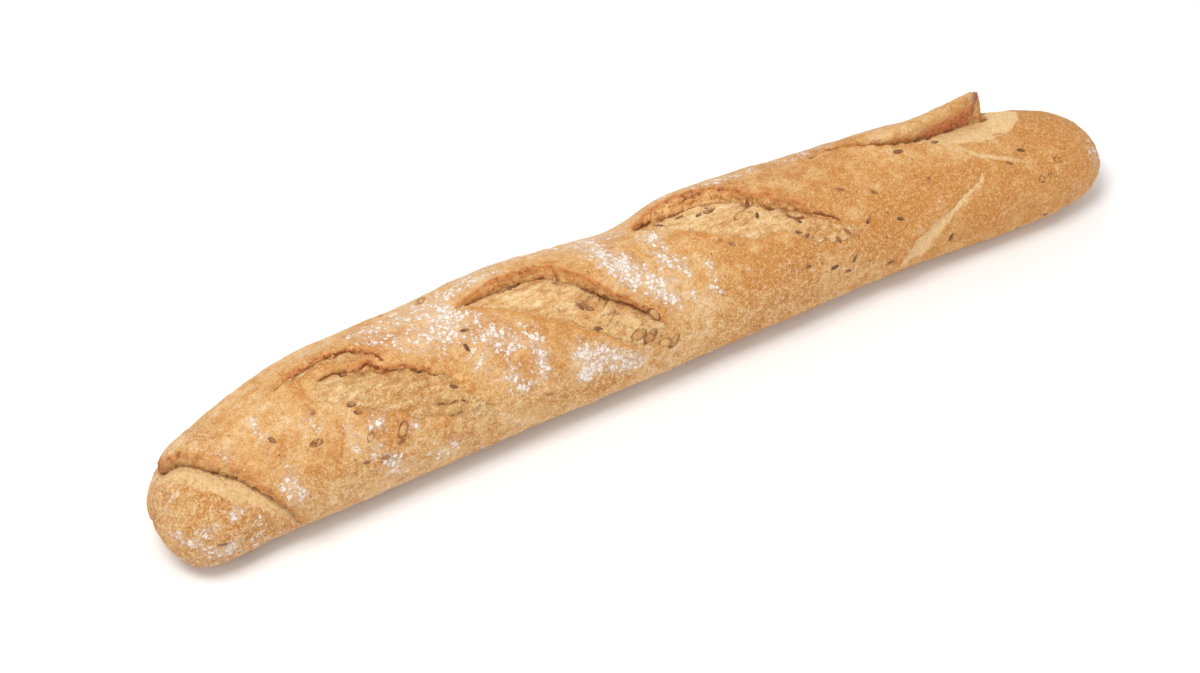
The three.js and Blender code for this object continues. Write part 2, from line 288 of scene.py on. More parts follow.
opening = np.zeros(len(place))  # soft crumb that swelled out
pale = np.zeros(len(place))  # smooth skin that opened late and stayed pale
edge = np.zeros(len(place))  # browned broken face
rim = np.zeros(len(place))  # the lip's own thin burnt line
cleft_shade = np.zeros(len(place))  # painted shade in the dark foot of the face, where the cleft lies in shadow
hem_line = np.zeros(len(place))  # the old crust's own edge along the hem
scorched = np.zeros(len(place))  # old crust just behind a lip, browned more than the rest
rise = 0.55 * coarse + 0.4 * middling
slid = place.copy()
for slash in SLASHES:
    lip, along, right = from_curve(curve_through(slash["lip"]), place)
    hem = from_curve(curve_through(slash["hem"]), place)[0]
    lift, face = (np.interp(along, *np.array(slash["rows"])[:, [0, i]].T) for i in (1, 2))
    start, end = slash["ends"]
    fade = smooth(along, 0, start) * smooth(1 - along, 0, end)
    within_ends = smooth(along, 0, 0.04) * smooth(1 - along, 0, 0.04)
    lip = lip + slash["ragged"] * (1.0 * middling + 0.5 * fine + 0.6 * crumbly) * within_ends
    hem = hem + slash["ragged"] * (1.2 * middling + 0.9 * fine) * within_ends
    behind = np.maximum(lip, 0)
    down = np.clip(-lip / face, 0, 1)
    beyond = np.maximum(-lip - face, 0)
    to_hem = np.maximum(hem, 0)
    share = np.where(to_hem > 0, to_hem / (to_hem + beyond + 1e-6), 0)

    crust_height = lift * np.exp(-((behind / slash["shoulder"]) ** 2))
    rolled = slash["roll"] * (1 - share) ** 2 * np.exp(-((np.minimum(hem, 0) / 8) ** 2))
    crumb_height = rolled - slash["step"] * smooth(hem, -0.6, 0.8) - slash["drop"] * share**1.6
    fallen = 0.5 * smooth(down, 0.04, 0.96) + 0.5 * down
    face_height = lift + (crumb_height - lift) * fallen
    height = np.where(lip > 0, crust_height, np.where(down < 1, face_height, crumb_height))
    rise += fade * height

    hang = slash["lean"] * np.exp(-behind / slash["shoulder"])
    belly = slash["belly"] * np.sin(math.pi * np.clip(down / 0.8, 0, 1))
    undercut = slash["steep"] * (-lip) - slash["lean"] - belly + smooth(down, 0.3, 1)
    foot = (slash["steep"] * face - slash["lean"] + 1.0) * np.exp(-((beyond / 9) ** 2))
    slide = np.where(lip > 0, -hang, np.where(down < 1, undercut, foot))
    slid += right * (slide * fade)[:, None]

    ends = smooth(along, 0, 0.06) * smooth(1 - along, 0, 0.08)
    opened = smooth(-lip, face * 0.7, face * 1.2) * smooth(hem, -1.0, 1.5) * ends
    if slash["torn"] > 0.5:
        opening = np.maximum(opening, slash["torn"] * opened)
    new_skin = (1 - slash["torn"]) * opened * smooth(hem, -slash["soft"] / 4, slash["soft"])
    pale = np.maximum(pale, new_skin)
    shown = smooth(lift, 0.1, 1.0) * smooth(fade, 0.05, 0.5)
    browned = smooth(lip, -face * 1.1, -face * 0.7) * smooth(-lip, -1.2, 0.2) * slash["toasted"]
    edge = np.maximum(edge, browned * shown)
    burnt_width = np.minimum(BURNT_LINE, 0.3 * face)
    on_line = np.exp(-(((lip + 0.5 * burnt_width) / burnt_width) ** 2)) * slash["toasted"]
    rim = np.maximum(rim, on_line * shown)
    scorched = np.maximum(scorched, np.exp(-((behind / 4) ** 2)) * slash["toasted"] * shown)
    # painted shade in the cleft at the foot of each face, darker where the cleft drops deeper
    gap = np.exp(-(((lip + face) / 1.1) ** 2)) * fade * min(1, slash["drop"] / 2)
    cleft_shade = np.maximum(cleft_shade, gap)
    old_edge = np.exp(-(((hem + 1.0) / 1.2) ** 2)) * fade * (lip < -face) * slash["torn"]
    hem_line = np.maximum(hem_line, old_edge)


def dab(x, girth, reach, reach_round):
    """1 at a place, and less over its reach along the loaf and round it."""
    return np.exp(
        -(((place[:, 0] - x) / reach) ** 2) - ((place[:, 1] - girth) / reach_round) ** 2
    )


# Shreds where a lip tore apart in many small browned strips: x, girth, reach along and round.
SHREDS = [
    (-147, -7, 7, 3.5), (-138, -4, 6, 3.5), (-153, -2, 5, 2.5), (-130, 5, 5, 3), (-117, 15, 6, 3),
    (-103, 27, 6, 4), (16, -16, 9, 4), (30, -15, 7, 4), (8, -13, 4, 3), (64, 8, 6, 3), (78, 16, 7, 3),
    (-64, -8, 8, 2.5), (-30, 10, 6, 3), (-14, 28, 5, 3),
]
for x, girth, reach, reach_round in SHREDS:
    edge = np.maximum(edge, dab(x, girth, reach, reach_round) * (0.75 + 0.6 * fine + 0.5 * crumbly))

# Lobes of dough that pushed out further than the rest, small blisters along the flap's hem and
# the last lips, and dents (a height below 0): x, girth, reach and height.
LOBES = [
    (-52, 8, 7, 0.9), (-21, 33, 7, 1.5), (-8, 39, 4.5, 1.0), (-34, 24, 6, 0.6), (-46, 14, 5, 0.5),
    (52, 10, 8, 0.9), (72, 22, 6, 0.8), (30, -3, 6, 0.6), (88, 30, 5, 0.6), (64, 15, 4, 0.5),
    (-146, 12, 7, 0.8), (-124, 27, 8, 0.8), (-106, 40, 6, 0.7), (-152, -5, 5, 0.6),
    (-236, 60, 12, 1.4), (-228, 76, 9, 1.8), (-231, 40, 8, 0.8), (2, -30, 16, -2.2),
    (30, -34, 18, 0.8), (-75, -34, 22, 0.6), (104, 40, 10, -0.6), (112, 32, 9, 0.9),
    (-220, -42, 15, -3.5), (-233, -28, 11, -3.0), (-190, -30, 14, 0.8), (114, -10, 2.2, 1.1),
    (119, -7, 2.2, 0.9), (125, -3, 2.6, 1.2), (131, 0, 2.2, 1.0), (138, 2.5, 2.8, 1.1),
    (144, 4, 2.0, 0.9), (150, 4, 2.6, 1.1), (157, 3.5, 2.0, 0.8), (127, 46.5, 2, 0.7),
    (131, 43, 2, 0.8), (135, 40, 1.8, 0.7), (140, 36, 2.1, 0.8), (128, 50, 1.8, 0.6),
    (-160, -4, 3, 0.6), (-151, -4, 3, 0.7), (-143, -3, 3.5, 0.8), (-135, 3, 3, 0.7),
]
body = body_point(place[:, 0], place[:, 1])
for x, girth, reach, bulge in LOBES:
    squared = ((body - body_point(np.array([x]), np.array([girth]))) ** 2).sum(-1)
    rise += bulge * np.exp(-squared / reach**2)

# Torn faces and crumb are rougher than the crust, and full of small burst bubbles.
torn = np.maximum(opening, edge)
burst = smooth(crumbly, 0.12, 0.5) + 0.6 * smooth(fine, 0.25, 0.6)
rise += fine * (0.16 + 0.45 * torn) + crumbly * (0.09 + 0.35 * torn) + 0.6 * middling * opening
rise -= 0.6 * burst * torn
wrinkles = np.exp(-((stringy / 0.09) ** 2)) * smooth(middling, -0.25, 0.25) * torn * (1 + 0.5 * edge)
rise -= 0.9 * wrinkles
slid[:, 0] += 0.7 * edge * chewed
slid[:, 1] += 0.8 * edge * fine

# Cracks where the crumb pulled apart under the lips and along the hems: line, depth and width.
CRACKS = [
    ([(-173, -8), (-165, -8.5), (-156, -8)], 0.6, 0.7),
    ([(-146, -9), (-141, -7), (-137, -3)], 1.3, 1.0), ([(-135, -2), (-131, 1), (-128, 6)], 1.2, 0.9),
    ([(-158, 2), (-151, 2), (-144, 4)], 1.2, 0.8), ([(-141, 6), (-137, 5), (-133, 8)], 1.1, 0.7),
    ([(-122, 13), (-116, 16), (-110, 22)], 0.9, 0.6),
    ([(-118, 31), (-112, 34), (-106, 35), (-101, 38)], 0.9, 0.7), ([(-96, 41), (-90, 45)], 0.7, 0.6),
    ([(-132, 29), (-124, 34), (-117, 38)], 0.6, 0.6), ([(-114, 39), (-108, 41), (-102, 41)], 0.8, 0.6),
    ([(-67, -5), (-61, -5), (-53, -6)], 1.3, 0.8), ([(-50, -5), (-45, -3)], 1.2, 0.7),
    ([(-37, 7), (-32, 13), (-27, 19)], 1.3, 0.8), ([(-23, 21), (-17, 25), (-12, 32)], 1.3, 0.8),
    ([(-40, 28), (-33, 34), (-26, 40)], 0.7, 0.6), ([(-70, 2), (-63, 7), (-58, 9)], 0.4, 0.5),
    ([(5, -14), (11, -15.5), (17, -15.5)], 1.4, 0.9), ([(20, -14), (26, -13), (33, -11)], 1.5, 1.0),
    ([(36, -6), (41, -3.5)], 1.3, 0.9), ([(58, 4), (62, 8), (65, 12)], 1.2, 0.7),
    ([(67, 15), (71, 18), (76, 18.5)], 1.3, 0.8), ([(80, 17), (85, 20), (92, 26)], 1.2, 0.8),
    ([(68, 24.5), (75, 29), (80, 31)], 0.6, 0.5), ([(44, -20), (50, -14)], 0.6, 0.6),
    ([(107, -16), (114, -12), (121, -8.5), (128, -4.5)], 1.4, 0.9),
    ([(131, -2.5), (138, 0), (143, 1)], 1.4, 0.8), ([(147, 1.3), (154, 1), (161, -0.5)], 1.3, 0.8),
    ([(165, -2), (173, -4.5)], 1.0, 0.6), ([(174, 8), (178, 6.5)], 0.4, 1.2),
    ([(183, 4.5), (187, 4), (190, 6)], 0.65, 1.3), ([(-223, 53), (-217, 55)], 1.2, 0.7),
    ([(-8, 46), (-3, 50), (0, 47)], 0.6, 0.6),
]
CRACK_REACH = 6.0  # a ragged crack strays no further than this from its line
# painted shade that darkens the cracks, the wrinkles and, further down, the pits
groove_shade = 0.7 * wrinkles
for line, depth, width in CRACKS:
    distance, along, right = from_curve(curve_through(line), place)
    open_width = width * (0.75 + 0.9 * np.abs(crumbly) + 0.4 * fine)
    ragged_line = distance + 0.5 * fine + 0.35 * crumbly
    groove = np.exp(-((ragged_line / np.maximum(open_width, 0.3)) ** 2))
    groove *= np.abs(distance) < CRACK_REACH
    groove *= smooth(along, -0.01, 0.15) * smooth(1 - along, -0.01, 0.15)
    rise -= depth * groove
    groove_shade = np.maximum(groove_shade, groove * min(1, depth))

# Pits left by burst bubbles and fallen seeds: x, girth, radius and depth.
PITS = [
    (-38, 17, 3.0, 2.0), (-28, 31, 1.5, 1.2), (-37, 29, 1.0, 0.9), (-166, 13, 1.4, 1.0),
    (-142, 16, 1.0, 0.7), (34, 13, 1.8, 0.5), (85, 27, 1.8, 0.5), (-140, 9, 2.2, 0.4),
    (75, 42, 1.4, 0.6), (-174, -8, 1.3, 1.3), (-168, -8.5, 1.0, 1.0), (-164, -9, 0.8, 0.9),
    (-159, -9, 0.8, 0.8), (-148, -8, 1.2, 0.9), (-142, -6, 1.0, 0.9), (-164, 9, 0.9, 0.9),
    (-118, 14, 1.1, 0.9), (-46, 50, 1.2, 0.6), (60, 39, 0.9, 0.5), (-171, 26, 1.3, 0.6),
    (166, 8, 1.2, 0.4),
]
for x, girth, reach, depth in PITS:
    ragged_reach = reach * (1 + 0.3 * fine)
    squared = (place[:, 0] - x) ** 2 + (place[:, 1] - girth) ** 2
    hollow = np.exp(-((squared / ragged_reach**2) ** 1.5))
    rise -= depth * hollow
    # painted shade in each pit
    groove_shade = np.maximum(groove_shade, 0.6 * hollow)

# A stretch mark, where the crust pulled thin without being cut.
STRETCH_MARK = [(154, 6), (163, 10), (169, 15), (176, 18), (183, 21), (191, 25), (201, 33)]
MARK_DEPTH, MARK_WIDTH = 0.35, 2.0
distance, along, right = from_curve(curve_through(STRETCH_MARK), place)
stretched = np.exp(-(((distance + 0.8 * fine) / MARK_WIDTH) ** 2)) * np.sin(math.pi * along) ** 0.6
rise -= MARK_DEPTH * stretched

# ------------------------------------------------------------------ where the seeds sit
# Flax seeds and hulled sunflower kernels were kneaded into the dough, and a few more stuck to
# it. The crust baked round each one, so it swells a little there and draws away from the seed.

# x, girth, and turn in degrees
FLAX_PLACES = [
    (50, -10, 30), (56, 1, -70), (56, 9, -60), (34, -5, -10), (39, -5, 20), (27, -10, 5), (15, -8, 20),
    (38, 17, 40), (72, 19, 50), (69, 24, 20), (72, 27, -30), (92, 32, 60), (86, 34, 60), (92, 47, -55),
    (88, 53, 20), (68, 41, 10), (60, 39, 40), (81, 47, 0), (-59, -8, 15), (-36, 29, 30),
    (-38.5, 16, 70), (-35, 19, 50), (-90, 7, 10), (-66, 51, 20), (-106, 28, 30), (104, 30, -40),
    (119, 35, 30), (111, 57, -10), (144, 57, -60), (191, 17, 20), (182, 23, 35), (113, 18, 40),
    (140, 21, -60), (154, 2, 10), (149, -2, 30), (135, 2, 15), (99, 11, 30), (-173, -8, 5),
    (-150, 18, 10), (-149, 22, 30), (-186, 15, 60), (-136, 42, -10), (-144, 47, 15), (-220, 54, 25),
    (-171, 26, 0), (139, -27, 20), (100, -14, 30), (-213, 13, 30), (-166, 13, 60),
]
KERNEL_PLACES = [
    (-30, 19, -40), (-20, 39, 5), (-15, 42, -25), (-10, 32, 70), (-4, 49, -50), (-8, 48, 30),
    (-134, 37, -60),
]
# kernels that the crust closed over, so that only their outlines show, as a trench with a ring of painted
# shade
COVERED_PLACES = [
    (207, 28, 60), (201, 37, 40), (195, 37, 95), (-148, 34, -50), (-170, 26, 10), (-144, 46, 20),
]
# half length, half width and half thickness in mm
FLAX_SIZE = (2.3, 1.05, 0.6)
KERNEL_SIZE = (3.2, 1.8, 1.1)
COVERED_SIZE = (2.1, 1.3, 0)
HIDDEN_FLAX = 66
HIDDEN_KERNELS = 12
STREWN_ALONG = (-232, 234)
STREWN_ROUND = (-88, 88)
SHOWN_GIRTH = (-24, 70)  # the slashed side, whose seeds are nearly all listed above
LEFT_OUT = 0.96  # the share of strewn seeds that would land there and are left out
SEED_SPACING = 7
SEED_REACH = 12

chance = np.random.default_rng(41)


def strewn(count, taken):
    """More places for seeds, on the sides that are turned away and here and there on top."""
    while len(taken) < count:
        x, girth = chance.uniform(*STREWN_ALONG), chance.uniform(*STREWN_ROUND)
        if SHOWN_GIRTH[0] < girth < SHOWN_GIRTH[1] and chance.random() < LEFT_OUT:
            continue
        if min((x - a) ** 2 + (girth - b) ** 2 for a, b, _ in taken) > SEED_SPACING**2:
            taken.append((x, girth, chance.uniform(-90, 90)))
    return taken


flax_places = strewn(len(FLAX_PLACES) + HIDDEN_FLAX, list(FLAX_PLACES))
kernel_places = strewn(len(KERNEL_PLACES) + HIDDEN_KERNELS, list(KERNEL_PLACES))

seed_rim_shade = np.zeros(len(place))
# a trench round each seed, a swelling outside it, and painted shade in the dark outline where crust meets
# seed
for places, size, outline in (
    (flax_places, FLAX_SIZE, 0.45),
    (kernel_places, KERNEL_SIZE, 0.9),
    (COVERED_PLACES, COVERED_SIZE, 1.0),
):
    for x, girth, degrees in places:
        offset = place - np.array([x, girth])
        close = np.flatnonzero((np.abs(offset) < SEED_REACH).all(1))
        cos, sin = math.cos(math.radians(degrees)), math.sin(math.radians(degrees))
        along_seed = (offset[close] @ np.array([cos, sin])) / size[0]
        across_seed = (offset[close] @ np.array([-sin, cos])) / size[1]
        out = np.hypot(along_seed, across_seed) + 0.15 * fine[close] + 0.1 * crumbly[close]
        swell = 0.4 * np.exp(-(((out - 1.3) / 1.0) ** 2))
        rise[close] += swell - 0.75 * np.exp(-((out / 1.25) ** 6))
        ring = outline * np.exp(-(((out - 1.12) / 0.33) ** 2))
        seed_rim_shade[close] = np.maximum(seed_rim_shade[close], ring)

# ------------------------------------------------------------------ the finished crust
# The swollen and torn dough set hard and browned in the oven: darker on its lips and ends,
# paler where it opened last, and white where the flour it was rolled in still lies.

surface = body_point(slid[:, 0], slid[:, 1])
normal = body_normal(slid[:, 0], slid[:, 1])
tips = np.abs(latitude) > 1 - 0.5 / RINGS
normal[tips] = np.stack([np.sign(latitude), 0 * latitude, 0 * latitude], -1)[tips]
off_tray = smooth(surface[:, 2], 0.3, 7)  # 0 on the underside, which took the tray's flat shape
surface = surface + normal * (rise * off_tray)[:, None]
surface[:, 2] = np.maximum(surface[:, 2], 0)
low, high = surface.min(0), surface.max(0)
MIDDLE = np.array([(low[0] + high[0]) / 2, (low[1] + high[1]) / 2, 0])
surface = (surface - MIDDLE) * MM

for vertex, co in zip(dough.verts, surface):
    vertex.co = co
dough.normal_update()
bmesh.ops.recalc_face_normals(dough, faces=dough.faces)
for polygon in dough.faces:
    polygon.smooth = True
dough.normal_update()
crust_tree = BVHTree.FromBMesh(dough)
crust_mesh = bpy.data.meshes.new("bread_crust")
dough.to_mesh(crust_mesh)
dough.free()
bread = bpy.data.objects.new("bread_crust", crust_mesh)
bpy.context.scene.collection.objects.link(bread)

# Flour that stayed on the crust: x, girth, reach along, reach round, and how thick it lies. The
# veils along the top back edge are partly flour and partly painted light from behind.
FLOUR = [
    (-18, -8, 7, 7, 0.75), (-15, 4, 7, 8, 0.95), (-11, 12, 7, 8, 0.9), (-4, 21, 6, 7, 0.85),
    (2, 29, 4, 6, 0.9), (8, -4, 5, 6, 0.7), (7, 10, 5, 8, 0.75), (13, 17, 4, 7, 0.6),
    (24, 24, 3, 8, 0.6), (20, 34, 4, 6, 0.5), (11, 31, 3, 4, 0.5), (40, 32, 3, 4, 0.3),
    (57, 36, 4, 5, 0.35), (-48, 38, 5, 7, 0.9), (-40, 42, 6, 8, 0.9), (-30, 47, 7, 7, 0.9),
    (-24, 52, 6, 5, 0.7), (-48, 48, 5, 5, 0.8), (-65, 26, 4, 7, 0.7), (-66, 36, 4, 7, 0.8),
    (-74, 21, 4, 4, 0.7), (-82, 15, 4, 4, 0.5), (-80, 35, 5, 6, 0.7), (-76, 42, 5, 4, 0.5),
    (-92, 24, 4, 6, 0.5), (-84, 4, 13, 9, 0.4), (-100, 3, 12, 10, 0.45), (-114, 2, 10, 9, 0.4),
    (-96, -4, 10, 8, 0.5), (-70, -24, 16, 4, 0.65), (-44, -25, 12, 4, 0.55), (-22, -21, 14, 4, 0.5),
    (-150, -18, 12, 4, 0.4), (-143, 28, 4.5, 4.5, 1.3), (-128, 36, 4, 4, 0.8), (-156, 31, 2.5, 8, 0.8),
    (-143, 50, 6, 7, 0.65), (-148, 40, 4, 4, 0.5), (-114, 54, 6, 5, 0.4), (-167, 17, 8, 7, 0.3),
    (-128, -14, 8, 5, 0.5), (-128, -6, 8, 4, 0.5), (-73, -15, 14, 3.5, 0.55), (-186, 36, 4, 9, 0.75),
    (-184, 46, 4, 4, 0.6), (-189, 8, 2.5, 12, 0.45), (-206, 11, 4, 6, 0.4), (-211, 38, 4, 4, 0.8),
    (-224, 41, 4, 6, 0.6), (-230, 47, 4, 6, 0.6), (-219, 57, 6, 5, 0.85), (-235, 42, 3, 5, 0.7),
    (-203, 49, 5, 5, 0.45), (-234, 8, 6, 14, 0.25), (-120, 60, 20, 8, 0.3), (231, 30, 5, 22, 0.45),
    (214, 54, 10, 8, 0.3), (-40, -50, 60, 16, 0.4), (-150, -54, 40, 16, 0.45), (60, -60, 50, 14, 0.35),
    (127, 45, 2, 3, 0.7), (133, 41, 2, 2.5, 0.6), (140, 34, 2.5, 2.5, 0.6), (34, -28, 18, 4, 0.5),
    (52, -17, 10, 3, 0.4), (231, 42, 6, 14, 0.3), (-78, 18, 12, 9, 0.35), (-102, -16, 24, 8, 0.6),
    (-10, -18, 14, 8, 0.6), (60, -20, 30, 7, 0.5), (105, -22, 20, 7, 0.45), (-218, 62, 26, 11, 0.2),
    (-196, 66, 20, 8, 0.2), (12, -4, 10, 10, 0.3),
]
# a thin flour veil, thicker to the left, and a pale veil on the low near side that is partly flour and
# partly painted bounce light
flour = 0.02 + 0.1 * smooth(-place[:, 0], -70, 60) + 0.3 * smooth(place[:, 1], 58, 78)
for x, girth, reach, reach_round, thick in FLOUR:
    flour += thick * dab(x, girth, reach, reach_round)
bared = (1 - opening) * (1 - edge) * (1 - pale) * (1 - rim) * (1 - 0.7 * stretched) * (1 - hem_line)
flour *= 0.1 + 0.9 * bared

# Where the oven browned it more (above 0) or less: x, girth, reach along and round, how much.
TOASTED = [
    (214, -4, 20, 26, 0.8), (196, 36, 26, 18, 0.3), (122, 33, 14, 12, 0.4), (106, 44, 12, 10, 0.8),
    (120, 8, 30, 14, 0.2), (150, 27, 34, 12, 0.85), (88, 20, 10, 5, 0.4), (126, -8, 20, 6, -0.5),
    (150, 2, 16, 4, -0.5), (-108, 34, 14, 9, 0.5), (-190, 18, 14, 16, 0.3), (-86, 42, 12, 7, 0.3),
    (-10, 42, 9, 8, 0.4), (80, 18, 14, 6, 0.35), (82, 10, 18, 10, 0.35), (60, 32, 24, 9, 0.4),
    (100, -18, 60, 14, 0.3), (-58, 30, 8, 12, 0.35), (-40, 30, 14, 6, 0.4), (20, 54, 50, 16, -0.3),
    (-128, 26, 26, 12, 0.6), (-150, -4, 14, 4, 0.7), (-136, 2, 8, 4, 0.7), (150, -14, 30, 7, -0.3),
    (26, -4, 20, 4, -0.9), (50, 8, 12, 9, -0.7), (72, 20, 10, 5, -0.4), (-22, 33, 9, 7, -0.8),
    (-52, 6, 12, 6, -0.5), (-228, -27, 4, 5, 1.2), (95, 24, 8, 7, -0.4), (2, 42, 20, 6, -0.35),
    (-170, 8, 14, 14, -0.15), (-130, 50, 24, 8, 0.3), (-228, 28, 14, 16, 0.3), (-222, 52, 12, 10, 0.3),
    (170, 52, 40, 14, 0.35), (-118, 40, 20, 8, 0.2), (60, 56, 40, 10, 0.1), (-200, 60, 20, 10, 0.1),
    (-165, 20, 12, 12, -0.2),
]
toasted = 0.3 * coarse + 0.45 * scorched + 0.25 * smooth(place[:, 0], 10, 110)
for x, girth, reach, reach_round, much in TOASTED:
    toasted += much * dab(x, girth, reach, reach_round)

# The tall flap: its lower right was stained red by burnt sugars, as was the knob's tip, its torn
# edge was singed, and the end face beyond that edge, which stayed pale, is painted a dull tan: its pale
# skin darkened by painted shade.
FLAP = SLASHES[5]
FLAP_END = 0.703  # the share of the flap's lip at which it is torn off
lip, along, right = from_curve(curve_through(FLAP["lip"]), place)
on_face = smooth(-lip, -1.5, 0.3) * smooth(lip, -6.5, -5)
torn_end = along + 0.009 * np.clip(-lip, 0, 6)  # its right edge slants in towards the foot
whole = smooth(FLAP_END - torn_end, 0, 0.01)
stain = on_face * smooth(along, 0.3, 0.48) * smooth(-lip, 0.8, 2.6) * whole
stain = np.maximum(stain, 1.4 * dab(-228, -22, 3, 5))
singed = on_face * smooth(along, 0.6, 0.68) * smooth(lip, -4.5, -1.5) * whole
singed = np.maximum(singed, on_face * np.exp(-(((torn_end - FLAP_END) / 0.009) ** 2)))
shaded_end_face = on_face * smooth(torn_end, FLAP_END + 0.003, FLAP_END + 0.012) * smooth(0.82 - along, 0, 0.02)

# The low near side and the knob took up grit and flour from the tray, and baked rougher.
tray_grit = smooth(place[:, 1], 28, 52) * smooth(140 - place[:, 0], 0, 60)
tray_grit = np.maximum(tray_grit, smooth(-place[:, 0], 196, 214))

for name, values in {
    "gritty": tray_grit,
    "opening": opening,
    "pale": pale,
    "edge": edge,
    "rim": rim,
    "cleft_shade": cleft_shade,
    "hem": hem_line,
    "groove_shade": groove_shade,
    "stretched": stretched,
    "flour": flour,
    "toasted": toasted,
    "seed_rim_shade": seed_rim_shade,
    "stain": stain,
    "singed": singed,
    "shaded_end_face": shaded_end_face,
    "underside": 1 - off_tray,
}.items():
    layer = crust_mesh.attributes.new(name, "FLOAT", "POINT")
    layer.data.foreach_set("value", values.astype(np.float32))


class Field:
    """What one socket says at each point of a surface, added and multiplied as in Python."""

    def __init__(self, socket):
        self.socket = socket

    def put(self, socket):
        """Feeds it to a socket."""
        self.socket.id_data.links.new(self.socket, socket)

    @staticmethod
    def make(tree, kind, settings, values, output=0):
        """Adds one node: its settings first, then what its sockets read, by name or number."""
        node = tree.nodes.new(kind)
        for key, setting in settings.items():
            setattr(node, key, setting)
        for key, value in values.items():
            if isinstance(value, Field):
                value.put(node.inputs[key])
            else:
                node.inputs[key].default_value = value
        return Field(node.outputs[output])

    def maths(self, operation, *values):
        """One sum on numbers."""
        tree = self.socket.id_data
        return Field.make(tree, "ShaderNodeMath", {"operation": operation}, dict(enumerate(values)))

    def vector_maths(self, operation, *values):
        """One sum on places, this one first."""
        tree = self.socket.id_data
        sockets = dict(enumerate((self, *values)))
        return Field.make(tree, "ShaderNodeVectorMath", {"operation": operation}, sockets)

    def __add__(self, other):
        return self.maths("ADD", self, other)

    def __sub__(self, other):
        return self.maths("SUBTRACT", self, other)

    def __rsub__(self, other):
        return self.maths("SUBTRACT", other, self)

    def __mul__(self, other):
        return self.maths("MULTIPLY", self, other)

    __radd__ = __add__
    __rmul__ = __mul__

    def ramp(self, low, high):
        """0 below low, 1 above high, and smooth between."""
        tree = self.socket.id_data
        settings = {"interpolation_type": "SMOOTHSTEP"}
        sockets = {"Value": self, "From Min": low, "From Max": high}
        return Field.make(tree, "ShaderNodeMapRange", settings, sockets)

    def over(self, ground, paint):
        """This much of paint over ground."""
        tree = self.socket.id_data
        settings = {"data_type": "RGBA", "clamp_factor": True}
        return Field.make(tree, "ShaderNodeMix", settings, {0: self, 6: ground, 7: paint}, output=2)


def tone(red, green, blue):
    """A colour on the eye's scale of 0 to 255, as light."""
    return (*(((part / 255 + 0.055) / 1.055) ** 2.4 for part in (red, green, blue)), 1)


def grain(where, size, detail=3.0, roughness=0.55):
    """Cloudy noise about 0.5, with features about size mm across."""
    tree = where.socket.id_data
    values = {"Vector": where, "Scale": 1 / (size * MM), "Detail": detail, "Roughness": roughness}
    return Field.make(tree, "ShaderNodeTexNoise", {}, values)


def cells(where, size, feature="F1", output="Distance"):
    """Cells about size mm wide: distance from each one's middle, or its edge, or its own tone."""
    tree = where.socket.id_data
    values = {"Vector": where, "Scale": 1 / (size * MM)}
    return Field.make(tree, "ShaderNodeTexVoronoi", {"feature": feature}, values, output)


crust = bpy.data.materials.new("baked_crust")
crust.use_nodes = True
tree = crust.node_tree
skin = tree.nodes["Principled BSDF"]
where = Field.make(tree, "ShaderNodeTexCoord", {}, {}, output="Object")
drawn_round = where.vector_maths("MULTIPLY", (1, 0.45, 0.45))
drawn_along = where.vector_maths("MULTIPLY", (0.4, 1, 1))


def mask(name):
    """One of the crust's own values, from 0 to about 1 over its surface."""
    return Field.make(tree, "ShaderNodeAttribute", {"attribute_name": name}, {}, output="Fac")


# patterns of the dough, crumb and crust, each with its size in mm
gritty = mask("gritty")
blotches = grain(where, 24, 4)
patches = grain(where, 9, 4)
mottle = grain(where, 4, 4)
grit = grain(where, 0.95, 3, 0.6)
speckle = grain(where, 2.0, 3, 0.6)
flecks = grain(where, 1.7, 2)
pinholes = cells(where, 3.4)
bubbles = cells(where, 1.9)
bran = cells(drawn_round, 6.5)
streaks = grain(drawn_round, 3.6, 3)
powder = grain(where, 1.15, 3, 0.75)
strands = grain(drawn_along, 3.0, 4, 0.7)

# dried flour breaks into flakes with wobbly outlines: the cracks between them, and each one's tone
FLAKE_SIZE = 2.2
WOBBLE_SCALE, WOBBLE_REACH = 700, 0.002
wobble = Field.make(
    tree, "ShaderNodeTexNoise", {}, {"Vector": where, "Scale": WOBBLE_SCALE}, output="Color"
)
shaken = wobble.vector_maths("MULTIPLY_ADD", (WOBBLE_REACH,) * 3, where)
clumps = cells(shaken, FLAKE_SIZE, "DISTANCE_TO_EDGE")
flake = cells(shaken, FLAKE_SIZE, output="Color")

# the crust, from pale to well baked, with its grit, pinholes and flecks of bran
baked = mask("toasted") * 0.8 + (blotches - 0.5) * 1.6 + (patches - 0.5) * 1.8
baked = baked + (mottle - 0.5) * (1.7 + gritty * 1.1) + 0.5
colour = baked.ramp(0.0, 0.5).over(tone(229, 189, 138), tone(217, 166, 101))
colour = baked.ramp(0.45, 1.15).over(colour, tone(198, 134, 62))
colour = (speckle.ramp(0.5, 0.68) * (0.28 + gritty * 0.4)).over(colour, tone(244, 209, 162))
colour = ((1 - speckle).ramp(0.5, 0.68) * (0.35 + gritty * 0.1)).over(colour, tone(176, 112, 56))
colour = (grit.ramp(0.5, 0.7) * (0.48 + gritty * 0.25)).over(colour, tone(243, 212, 168))
colour = ((1 - grit).ramp(0.5, 0.7) * (0.48 + gritty * 0.12)).over(colour, tone(164, 102, 52))
colour = (flecks.ramp(0.6, 0.7) * (1 - baked.ramp(0.2, 0.9)) * 0.6).over(colour, tone(246, 218, 178))
colour = ((1 - pinholes).ramp(0.88, 0.95) * mottle.ramp(0.45, 0.6) * 0.75).over(colour, tone(132, 76, 38))
colour = ((1 - bran).ramp(0.93, 0.96) * 0.8).over(colour, tone(120, 72, 40))

